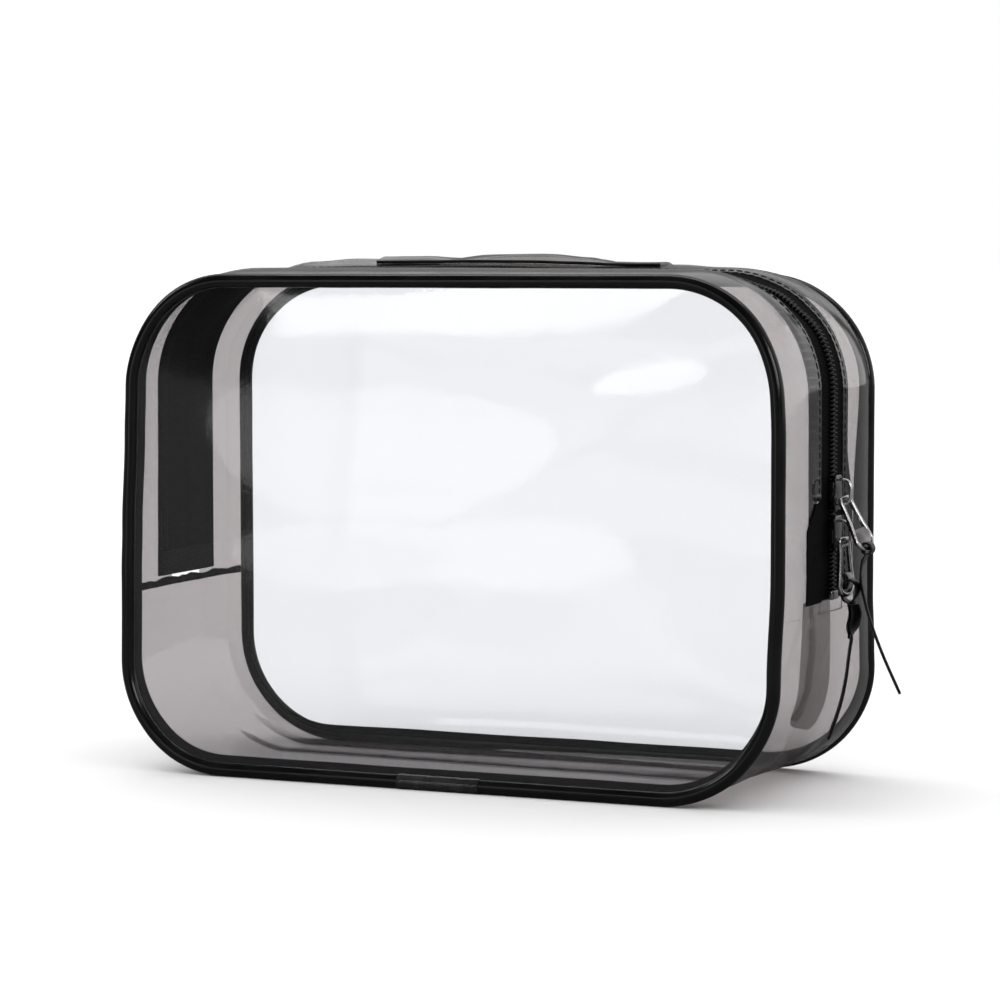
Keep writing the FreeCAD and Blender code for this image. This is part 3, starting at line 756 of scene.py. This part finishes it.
def side_patch():
    """The second smoke layer below the zipper's end on the right, towards the front."""
    start, end = ZIP_RIGHT + 1 * MM, SEAM_RIGHT - 42 * MM

    def place(along, across, inner):
        share = smooth_step((start - along) / (start - end))
        near, far = -27 * MM + 2 * MM * share, 1 * MM + 8 * MM * share
        shifted = near + (across + 27 * MM) * (far - near) / (26 * MM)
        side = (across + 14 * MM) / (13 * MM)
        corner = share ** 3 * (4 * abs(side) ** 8 - 3.5 * side) * MM
        return gusset_point(along + corner, shifted, FILM + 0.3 * MM + inner)

    piece = sheet_piece("side_patch_right", steps(end, start, 2 * MM),
                        steps(-27 * MM, -1 * MM, 1.3 * MM), place, FILM)
    place_piece(piece, PATCH_FILM, "bag", "smoke_sheet")


for name, sign in (("front", -1), ("back", 1)):
    tape("zip_tape_" + name, sign)
    coil("zip_coil_" + name, sign)
    binding("zip_binding_" + name, sign)
seam("side_seam_left", SEAM_LEFT, -1)
weld("side_seam_right", SEAM_RIGHT)
end_patch("zip_end_patch_right", ZIP_RIGHT, 1, 2.5 * MM)
end_patch("zip_end_patch_left", ZIP_LEFT, -1, 9 * MM)
end_tab_painted_reflection()
side_patch()


# ---- small solids ----

def prism(corners, low, high, place):
    """Points and faces of a straight prism; place turns (first, second, height) into a point."""
    count = len(corners)
    points = [place(first, second, height) for height in (low, high) for first, second in corners]
    faces = [tuple(reversed(range(count))), tuple(range(count, 2 * count))]
    for index in range(count):
        after = (index + 1) % count
        faces.append((index, after, count + after, count + index))
    return points, faces


def rounded_piece(name, solids, width):
    """Closed solids in one piece, every sharp edge rounded by width."""
    points, faces = [], []
    for solid_points, solid_faces in solids:
        base = len(points)
        points += solid_points
        faces += [tuple(base + index for index in face) for face in solid_faces]
    piece = new_piece(name, points, faces)
    made = bmesh.new()
    made.from_mesh(piece.data)
    bmesh.ops.recalc_face_normals(made, faces=made.faces)
    sharp = [edge for edge in made.edges if edge.calc_face_angle(0) > math.radians(32)]
    bmesh.ops.bevel(made, geom=sharp, offset=width, segments=3, profile=0.5, affect="EDGES",
                    clamp_overlap=True)
    made.to_mesh(piece.data)
    made.free()
    piece.data.polygons.foreach_set("use_smooth", [True] * len(piece.data.polygons))
    piece.data.set_sharp_from_angle(angle=math.radians(48))
    return piece


def zip_stop(label, side):
    """The metal staple clenched over both coils."""
    low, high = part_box(label)
    across, half = high.y, (high.z - low.z) / 2
    middle = (low.z + high.z) / 2
    rise = max(abs(low.x), abs(high.x))

    def place(first, second, height):
        return Vector((side * second, first, middle + height))

    outside = [(across - 0.7 * MM, rise + 0.15 * MM), (across, rise - 0.5 * MM),
               (across, rise - 2.4 * MM)]
    inside = [(across - 0.8 * MM, rise - 2.4 * MM), (across - 0.8 * MM, rise - 0.8 * MM)]
    legs = [(-wide, up) for wide, up in reversed(outside)] + outside + inside
    legs += [(-wide, up) for wide, up in reversed(inside)]
    piece = rounded_piece(label + "_staple", [prism(legs, -half, half, place)], 0.22 * MM)
    place_piece(piece, GUNMETAL, "bag", "plated_metal", label)


zip_stop("zip_stop_right", 1)
zip_stop("zip_stop_left", -1)


# ---- sliders and pulls ----

def slider(place_name, nose):
    """A coil slider: two shield-shaped plates, turned-in flanges, a neck and the bridge on top."""
    body = "slider_%s" % place_name
    low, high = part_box(body + "_body")
    level, half = (low.z + high.z) / 2, (high.z - low.z) / 2

    def place(first, second, height):
        return Vector((height, first, level + nose * second))

    widths = [(-1.0, 0.58), (-0.95, 0.72), (-0.82, 0.81), (-0.4, 0.83), (-0.05, 0.87), (0.3, 0.97),
              (0.6, 1.0), (0.82, 0.96), (0.95, 0.84), (1.0, 0.66)]
    edge = [(high.y * wide, half * share) for share, wide in widths]
    shield = edge + [(-across, up) for across, up in reversed(edge)]
    plate = 1.2 * MM
    inner_lip = [(3.45 * MM, -0.62 * half), (4.0 * MM, -0.6 * half), (4.25 * MM, 0.55 * half),
                 (3.55 * MM, 0.6 * half)]
    solids = [prism(shield, high.x - plate, high.x, place),
              prism(shield, low.x, low.x + plate, place),
              prism([(-0.8 * MM, 0.45 * half), (0.8 * MM, 0.45 * half), (0.45 * MM, 0.95 * half),
                     (-0.45 * MM, 0.95 * half)], low.x + 0.5 * MM, high.x - 0.5 * MM, place)]
    for side in (1, -1):
        lip = [(side * across, up) for across, up in inner_lip]
        solids.append(prism(lip, high.x - plate - 1.15 * MM, high.x - 0.6 * MM, place))
        solids.append(prism(lip, low.x + 0.6 * MM, low.x + plate + 0.3 * MM, place))
    piece = rounded_piece(body + "_shell", solids, 0.38 * MM)
    place_piece(piece, ENAMEL, body, "black_metal", body + "_body")

    foot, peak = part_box(body + "_crown")
    reach, rise = (peak.z - foot.z) / 2 - 0.55 * MM, peak.x - foot.x - 0.5 * MM
    arch = [(-1.0, -0.12), (-1.0, 0.2), (-0.97, 0.5), (-0.86, 0.78), (-0.62, 0.94), (-0.3, 1.0),
            (0.1, 1.0), (0.45, 0.95), (0.72, 0.8), (0.88, 0.56), (0.95, 0.25), (0.97, -0.12)]
    curve = smooth_path([Vector((foot.x + up * rise, 0, level + nose * share * reach))
                         for share, up in arch], 40)
    path = []
    for index, centre in enumerate(curve):
        heading = curve[min(index + 1, 39)] - curve[max(index - 1, 0)]
        across = Vector((0, 1, 0))
        path.append((centre, across, heading.normalized().cross(across)))

    def bridge_section(index, turn):
        wide = 1.1 * MM if 6 < index < 33 else 1.25 * MM
        return superellipse(turn, wide, 0.52 * MM)

    piece = swept_piece(body + "_bridge", path, 16, bridge_section)
    place_piece(piece, NICKEL, body, "plated_metal", body + "_crown")


def smooth_path(corners, count):
    """A Catmull-Rom curve through the corners, cut evenly by parameter."""
    ends = [corners[0] * 2 - corners[1]] + corners + [corners[-1] * 2 - corners[-2]]
    made = []
    for index in range(count):
        where = index / (count - 1) * (len(corners) - 1)
        span = min(int(where), len(corners) - 2)
        part = where - span
        a, b, c, d = ends[span:span + 4]
        made.append(0.5 * ((2 * b) + (c - a) * part + (2 * a - 5 * b + 4 * c - d) * part ** 2
                           + (3 * b - a - 3 * c + d) * part ** 3))
    return made


def hanging(pivot, tilt, turn=0.0):
    """Directions of a hanging piece turned about its length: down it, out of its face, across it."""
    down = Vector((math.sin(tilt), 0, -math.cos(tilt)))
    out, across = Vector((math.cos(tilt), 0, math.sin(tilt))), Vector((0, 1, 0))
    return (pivot, down, out * math.cos(turn) - across * math.sin(turn),
            across * math.cos(turn) + out * math.sin(turn))


def link(label, body, pivot, tilt, turn):
    """The cast link: a bent frame, a domed plate across it and a slot below that for the strap."""
    origin, down, out, across = hanging(pivot, tilt, turn)
    reach, half = 19 * MM, 4.5 * MM
    ring = []
    for share in range(9):
        turn = math.pi * share / 8
        ring.append((half * 0.85 * math.cos(turn), reach - half + 0.5 * MM
                     + half * 0.94 * math.sin(turn)))
    corners = [(-1.9 * MM, 0), (0, -0.05 * MM), (1.9 * MM, 0), (2.5 * MM, 0.7 * MM),
               (2.6 * MM, 4 * MM), (3.0 * MM, 9 * MM)] + ring
    corners += [(-3.0 * MM, 9 * MM), (-2.6 * MM, 4 * MM), (-2.5 * MM, 0.7 * MM)]
    loop = [origin + across * side + down * low for side, low in corners]
    curve = smooth_path(loop + loop[:1], 97)[:-1]
    path = []
    for index, centre in enumerate(curve):
        heading = curve[(index + 1) % 96] - curve[index - 1]
        path.append((centre, out, heading.normalized().cross(out)))

    def rail_section(index, turn):
        top = index < 9 or index > 90
        return superellipse(turn, (0.78 if top else 0.8) * MM, (0.72 if top else 0.74) * MM, 0.75)

    frame_piece = swept_piece(label + "_frame", path, 14, rail_section, closed=True)
    place_piece(frame_piece, NICKEL, body, "plated_metal", label)

    def place(along, over, inner):
        round_end = math.sqrt(max(0.0, 1 - (max(along - 14.6 * MM, 0.0) / (2.9 * MM)) ** 2))
        dome = 0.85 * MM * (1 - (over / half) ** 2) * (1 - ((along - 14.4 * MM) / (3.6 * MM)) ** 2)
        lift = (0.40 * MM + dome) * (1 if inner == 0 else -1)
        return origin + down * along + across * over * (0.35 + 0.65 * round_end) + out * lift

    plate = sheet_piece(label + "_plate", steps(11.6 * MM, 17.2 * MM, 0.4 * MM),
                        steps(-3.7 * MM, 3.7 * MM, 0.5 * MM), place, 1 * MM)
    place_piece(plate, GUNMETAL, body, "plated_metal")


def strap(label, body, pivot, tilt, loop, route, twists, folded):
    """The flat pull strap: a loop round the link's end and a long tail that bends and twists.

    The loop is its half length, half depth and shift outwards, and the route a list of
    (length along it, distance out of the straight line), all in mm.
    """
    origin, down, out, across = hanging(pivot, tilt)
    tail_starts, reach, thick = 3.2 * MM, 51 * MM, 0.9 * MM
    ends = smooth_path([Vector((first, second, 0)) for first, second in route], 120)

    def twist_at(along):
        for (start, first), (end, second) in zip(twists, twists[1:]):
            if along <= end:
                return first + (second - first) * smooth_step((along - start) / (end - start))
        return twists[-1][1]

    def tail_frame(along):
        spot = along / MM
        index = max(1, next((i for i, point in enumerate(ends) if point.x >= spot), len(ends) - 1))
        before, after = ends[index - 1], ends[index]
        sway = before.y + (after.y - before.y) * (spot - before.x) / (after.x - before.x)
        heading = (down * (after.x - before.x) + out * (after.y - before.y)).normalized()
        turn = math.radians(twist_at(along))
        wide = across * math.cos(turn) + heading.cross(across) * math.sin(turn)
        return (origin + down * along + out * sway * MM, wide, heading.cross(wide))

    frames = []
    long, deep, shift = loop
    for share in range(19):
        turn = math.radians(155 - 310 * share / 18)
        rim = -down * math.cos(turn) * long + out * math.sin(turn) * deep
        facing = (-down * math.cos(turn) / long + out * math.sin(turn) / deep).normalized()
        frames.append((origin + (rim + out * shift - down * shift) * MM, across, facing))
    frames += [tail_frame(along) for along in steps(tail_starts, reach, 0.8 * MM)]
    count = len(frames)

    def band(index, turn):
        narrow = 1.0
        if index > count - 4:
            narrow = 1 - 0.16 * (index - count + 4)
        return superellipse(turn, 2.35 * MM * narrow, thick / 2, 0.5)

    piece = swept_piece(label + "_band", frames, 16, band)
    place_piece(piece, STRAP, body, "pull_strap", label)
    if folded:
        lengths = steps(2.4 * MM, 15 * MM, 0.7 * MM)
        flap = []
        for along in lengths:
            centre, wide, normal = tail_frame(along)
            gap = 0.95 + 0.35 * math.sin(math.pi * (along - 2.4 * MM) / (12.6 * MM))
            flap.append((centre - normal * gap * MM, wide, normal))

        def flap_band(index, turn):
            cut = 1 - 0.7 * smooth_step((index - len(flap) + 6) / 6)
            return superellipse(turn, 2.3 * MM * cut, thick / 2, 0.5)

        piece = swept_piece(label + "_flap", flap, 16, flap_band)
        place_piece(piece, STRAP, body, "pull_strap")


slider("upper", -1)
slider("lower", 1)
UPPER_PIVOT = Vector((131.8 * MM, 0, 102.9 * MM))
LOWER_PIVOT = Vector((131.8 * MM, 0, 88.9 * MM))
link("pull_link_upper", "link_upper", UPPER_PIVOT, math.radians(27), math.radians(26))
link("pull_link_lower", "link_lower", LOWER_PIVOT, math.radians(3), math.radians(20))
strap("pull_strap_upper", "strap_upper", Vector((140.43 * MM, 0, 85.97 * MM)), math.radians(18),
      (1.9, 1.75, 0.0),
      [(0, 0), (4, -3.0), (9, -5.6), (16, -6.5), (24, -6.7), (31, -6.4), (38, -5.8), (45, -4.9),
       (51, -4.1)],
      [(0, 0), (3 * MM, 0), (10 * MM, -23), (60 * MM, -23)], False)
strap("pull_strap_lower", "strap_lower", Vector((132.79 * MM, 0, 69.93 * MM)), math.radians(-8),
      (3.9, 2.7, 1.3),
      [(0, 1.6), (2.5, 3.2), (6.5, 4.6), (12.5, 4.2), (21, 4.1), (29.5, 4.2), (38.5, 3.5), (47, 1.9),
       (51, 1.1)],
      [(0, 20), (6 * MM, 34), (10 * MM, 30), (15 * MM, -23), (60 * MM, -23)], True)


# ---- handle ----

HANDLE_HALF, HANDLE_FOOT = 56 * MM, 9 * MM
HANDLE_NEAR, HANDLE_WIDE = 22 * MM, 18 * MM
TOP_MIDDLE = LENGTH / 2


def handle_point(along, across, inner):
    """A point of the strap: along is -1 to 1, across 0 to 1, inner the depth from its top.

    Its far edge arches up and its near edge stays low, so it leans forwards, with a dip on the left.
    """
    x = along * HANDLE_HALF
    spot = x / MM
    share = min(1.0, abs(x) / (HANDLE_HALF - HANDLE_FOOT))
    arch = [(-56, 0.0), (-46, 0.3), (-34, 1.0), (-18, 2.0), (6, 2.8), (22, 2.2), (30, 1.5), (37, 0.4),
            (49, 0.0)]
    high = read_table(arch, spot)
    low = 0.25 * high
    dip = 1.1 * math.exp(-((spot + 22) / 11) ** 2)
    body = low + (high - low) * across ** 0.8 - dip * math.sin(math.pi * across)
    body += 0.5 * math.exp(-((spot - 8) / 17) ** 2) * math.sin(math.pi * across)
    rest = gusset_point(TOP_MIDDLE - x, HANDLE_NEAR + across * HANDLE_WIDE)
    flat = gusset_point(TOP_MIDDLE - x, HANDLE_NEAR + HANDLE_WIDE / 2)
    level = rest.z + (flat.z - rest.z) * across * 0.8 * (1 - share ** 3)
    return Vector((x, rest.y, level + (0.95 + max(body, 0.0)) * MM - inner))


def handle():
    """The carrying strap with a sewn rim along both edges."""
    piece = sheet_piece("handle_strap_film", steps(-1, 1, 1.4 / 56), steps(0, 1, 1.5 / 18),
                        handle_point, 0.9 * MM)
    place_piece(piece, HANDLE, "bag", "handle_sheet", "handle_strap")
    for label, across in (("near", 0.0), ("far", 1.0)):
        path = []
        for along in steps(-1, 1, 1.4 / 56):
            centre = handle_point(along, across, 0.45 * MM)
            path.append((centre, Vector((0, 1, 0)), Vector((0, 0, 1))))
        piece = swept_piece("handle_%s_rim" % label, path, 8,
                            lambda index, turn: (0.4 * MM * math.cos(turn), 0.55 * MM * math.sin(turn)))
        place_piece(piece, STRAP, "bag", "handle_sheet")


handle()


# ---- stitches ----

THREAD_RADIUS, STITCH_PITCH = 0.17 * MM, 3 * MM


def stitches(name, ends):
    """Sewn thread: one low arch from each start to its end, standing on the surface."""
    rises = [(0.0, -0.25), (0.12, 0.05), (0.5, 0.16), (0.88, 0.05), (1.0, -0.25)]
    points, faces, sides = [], [], 5
    for start, end, normal in ends:
        heading = (end - start).normalized()
        across = heading.cross(normal)
        base = len(points)
        for share, rise in rises:
            centre = start.lerp(end, share) + normal * rise * MM
            for corner in range(sides):
                turn = 2 * math.pi * corner / sides
                points.append(centre + across * math.cos(turn) * THREAD_RADIUS
                              + normal * math.sin(turn) * THREAD_RADIUS)
        faces += tube_faces(len(rises), sides, base)
    piece = solid_piece(name, points, faces)
    place_piece(piece, THREAD, "bag", "binding")


def gusset_stitches(name, start, end, across):
    """A row of stitches along the gusset at one distance across."""
    ends = []
    for along in steps(start, end, STITCH_PITCH)[:-1]:
        first = gusset_point(along + 0.25 * MM, across)
        last = gusset_point(along + STITCH_PITCH - 0.3 * MM, across)
        ends.append((first, last, normal_at(along + STITCH_PITCH / 2)))
    stitches(name, ends)


for name, sign in (("front", -1), ("back", 1)):
    gusset_stitches("zip_%s_stitches" % name, ZIP_RIGHT + 1 * MM, ZIP_LEFT - 1 * MM, sign * 14 * MM)


# ---- floor and light ----

def floor():
    """A wide sheet of pale paper."""
    size, cells = 120.0, 24
    points = [Vector((size * (2 * column / cells - 1), size * (2 * row / cells - 1), 0))
              for row in range(cells + 1) for column in range(cells + 1)]
    piece = new_piece("floor", points, grid_faces(cells + 1, cells + 1))
    material, tree, shader = new_material("floor_paper")
    # the paper throws less light back at the object than the camera sees on it
    rays = add_node(tree, "ShaderNodeLightPath")
    ramp_to(shader.inputs["Base Color"], rays.outputs["Is Camera Ray"], 0.14, 0.80, 0.0, 1.0)
    set_inputs(shader, Roughness=0.9, Specular_IOR_Level=0.1)
    piece.data.materials.append(material)


def softbox(name, place, aim, wide, tall, radiance, shape="RECTANGLE", roll=0.0):
    """A flat light that shows only in reflections."""
    data = bpy.data.lights.new(name, "AREA")
    data.shape = shape
    data.size, data.size_y, data.energy = wide, tall, radiance * math.pi * wide * tall
    light = bpy.data.objects.new(name, data)
    light.location = place
    light.rotation_euler = (Vector(aim) - Vector(place)).to_track_quat("-Z", "Y").to_euler()
    light.rotation_euler.rotate_axis("Z", math.radians(roll))
    light.visible_camera = False
    light.visible_diffuse = False
    scene.collection.objects.link(light)


def world():
    """White to the camera; for light and reflections a studio: lit walls, a dark front, a dark gap."""
    made = bpy.data.worlds.new("studio")
    scene.world = made
    made.use_nodes = True
    tree = made.node_tree
    sky = tree.nodes["Background"]
    set_inputs(sky, Color=(1.0, 1.0, 1.0, 1.0))
    rays = add_node(tree, "ShaderNodeLightPath")
    place = add_node(tree, "ShaderNodeTexCoord")
    parts = add_node(tree, "ShaderNodeSeparateXYZ")
    bearing = add_node(tree, "ShaderNodeMath", operation="ARCTAN2")
    turned = add_node(tree, "ShaderNodeMapRange")
    height = add_node(tree, "ShaderNodeMapRange", interpolation_type="SMOOTHSTEP")
    wire(place.outputs["Generated"], parts.inputs["Vector"])
    wire(parts.outputs["Y"], bearing.inputs[0])
    wire(parts.outputs["X"], bearing.inputs[1])
    wire(bearing.outputs["Value"], turned.inputs["Value"])
    wire(parts.outputs["Z"], height.inputs["Value"])
    for node, low, high in ((turned, -math.pi, math.pi), (height, 0.24, 0.38)):
        node.inputs["From Min"].default_value, node.inputs["From Max"].default_value = low, high
    # grey levels at bearings in degrees from +X, near the horizon and higher up
    bands = []
    for stops in ([(-180, 0.03), (-14, 0.03), (10, 0.7), (76, 0.8), (81, 0.85), (83, 0.12), (89, 0.12),
                   (91, 0.5), (97, 0.45), (101, 0.22), (165, 0.30), (178, 0.06)],
                  [(-180, 0.06), (-30, 0.06), (20, 0.55), (160, 0.75), (178, 0.10)]):
        band = add_node(tree, "ShaderNodeValToRGB")
        ends = band.color_ramp.elements
        while len(ends) < len(stops):
            ends.new(0.5)
        for end, (angle, level) in zip(ends, stops):
            end.position = (angle + 180) / 360
            end.color = (level, level, level, 1.0)
        wire(turned.outputs["Result"], band.inputs["Fac"])
        bands.append(band)
    room = add_node(tree, "ShaderNodeMix", data_type="RGBA")
    shown = add_node(tree, "ShaderNodeMix", data_type="RGBA")
    wire(height.outputs["Result"], room.inputs["Factor"])
    wire(bands[0].outputs["Color"], room.inputs[6])
    wire(bands[1].outputs["Color"], room.inputs[7])
    wire(rays.outputs["Is Camera Ray"], shown.inputs["Factor"])
    wire(room.outputs[2], shown.inputs[6])
    shown.inputs[7].default_value = (1.0, 1.0, 1.0, 1.0)
    wire(shown.outputs[2], sky.inputs["Color"])


floor()
world()
sun = bpy.data.lights.new("ceiling", "SUN")
sun.energy, sun.angle = 3.9, math.radians(120)
ceiling = bpy.data.objects.new("ceiling", sun)
ceiling.rotation_euler = (math.radians(12), math.radians(-8), 0)
ceiling.visible_glossy = False
scene.collection.objects.link(ceiling)
MIDDLE = (0, 0, 0.09)
FACE = (0, -50 * MM, 0.1)
softbox("front_high", (-0.205, -0.6, 0.25), FACE, 0.27, 0.05, 2.3, roll=9)
softbox("front_small", (-0.095, -0.6, 0.158), FACE, 0.085, 0.032, 1.5, "ELLIPSE", roll=-6)
softbox("front_wide", (-0.302, -0.6, 0.104), FACE, 0.25, 0.11, 0.6, "ELLIPSE")
softbox("front_low", (-0.25, -0.6, 0.03), FACE, 0.30, 0.04, 0.55, "ELLIPSE")
softbox("overhead", (0.0, 0.25, 1.3), MIDDLE, 1.4, 0.16, 5.0)
softbox("metal", (0.95, -0.95, 0.45), MIDDLE, 0.16, 0.4, 5.0)
softbox("left", (-1.3, -0.3, 0.9), MIDDLE, 0.3, 0.5, 4.0)
softbox("right", (1.3, -0.7, 0.6), MIDDLE, 0.3, 0.5, 8.0)

scene.cycles.transparent_max_bounces = 32
scene.view_settings.view_transform = "Standard"
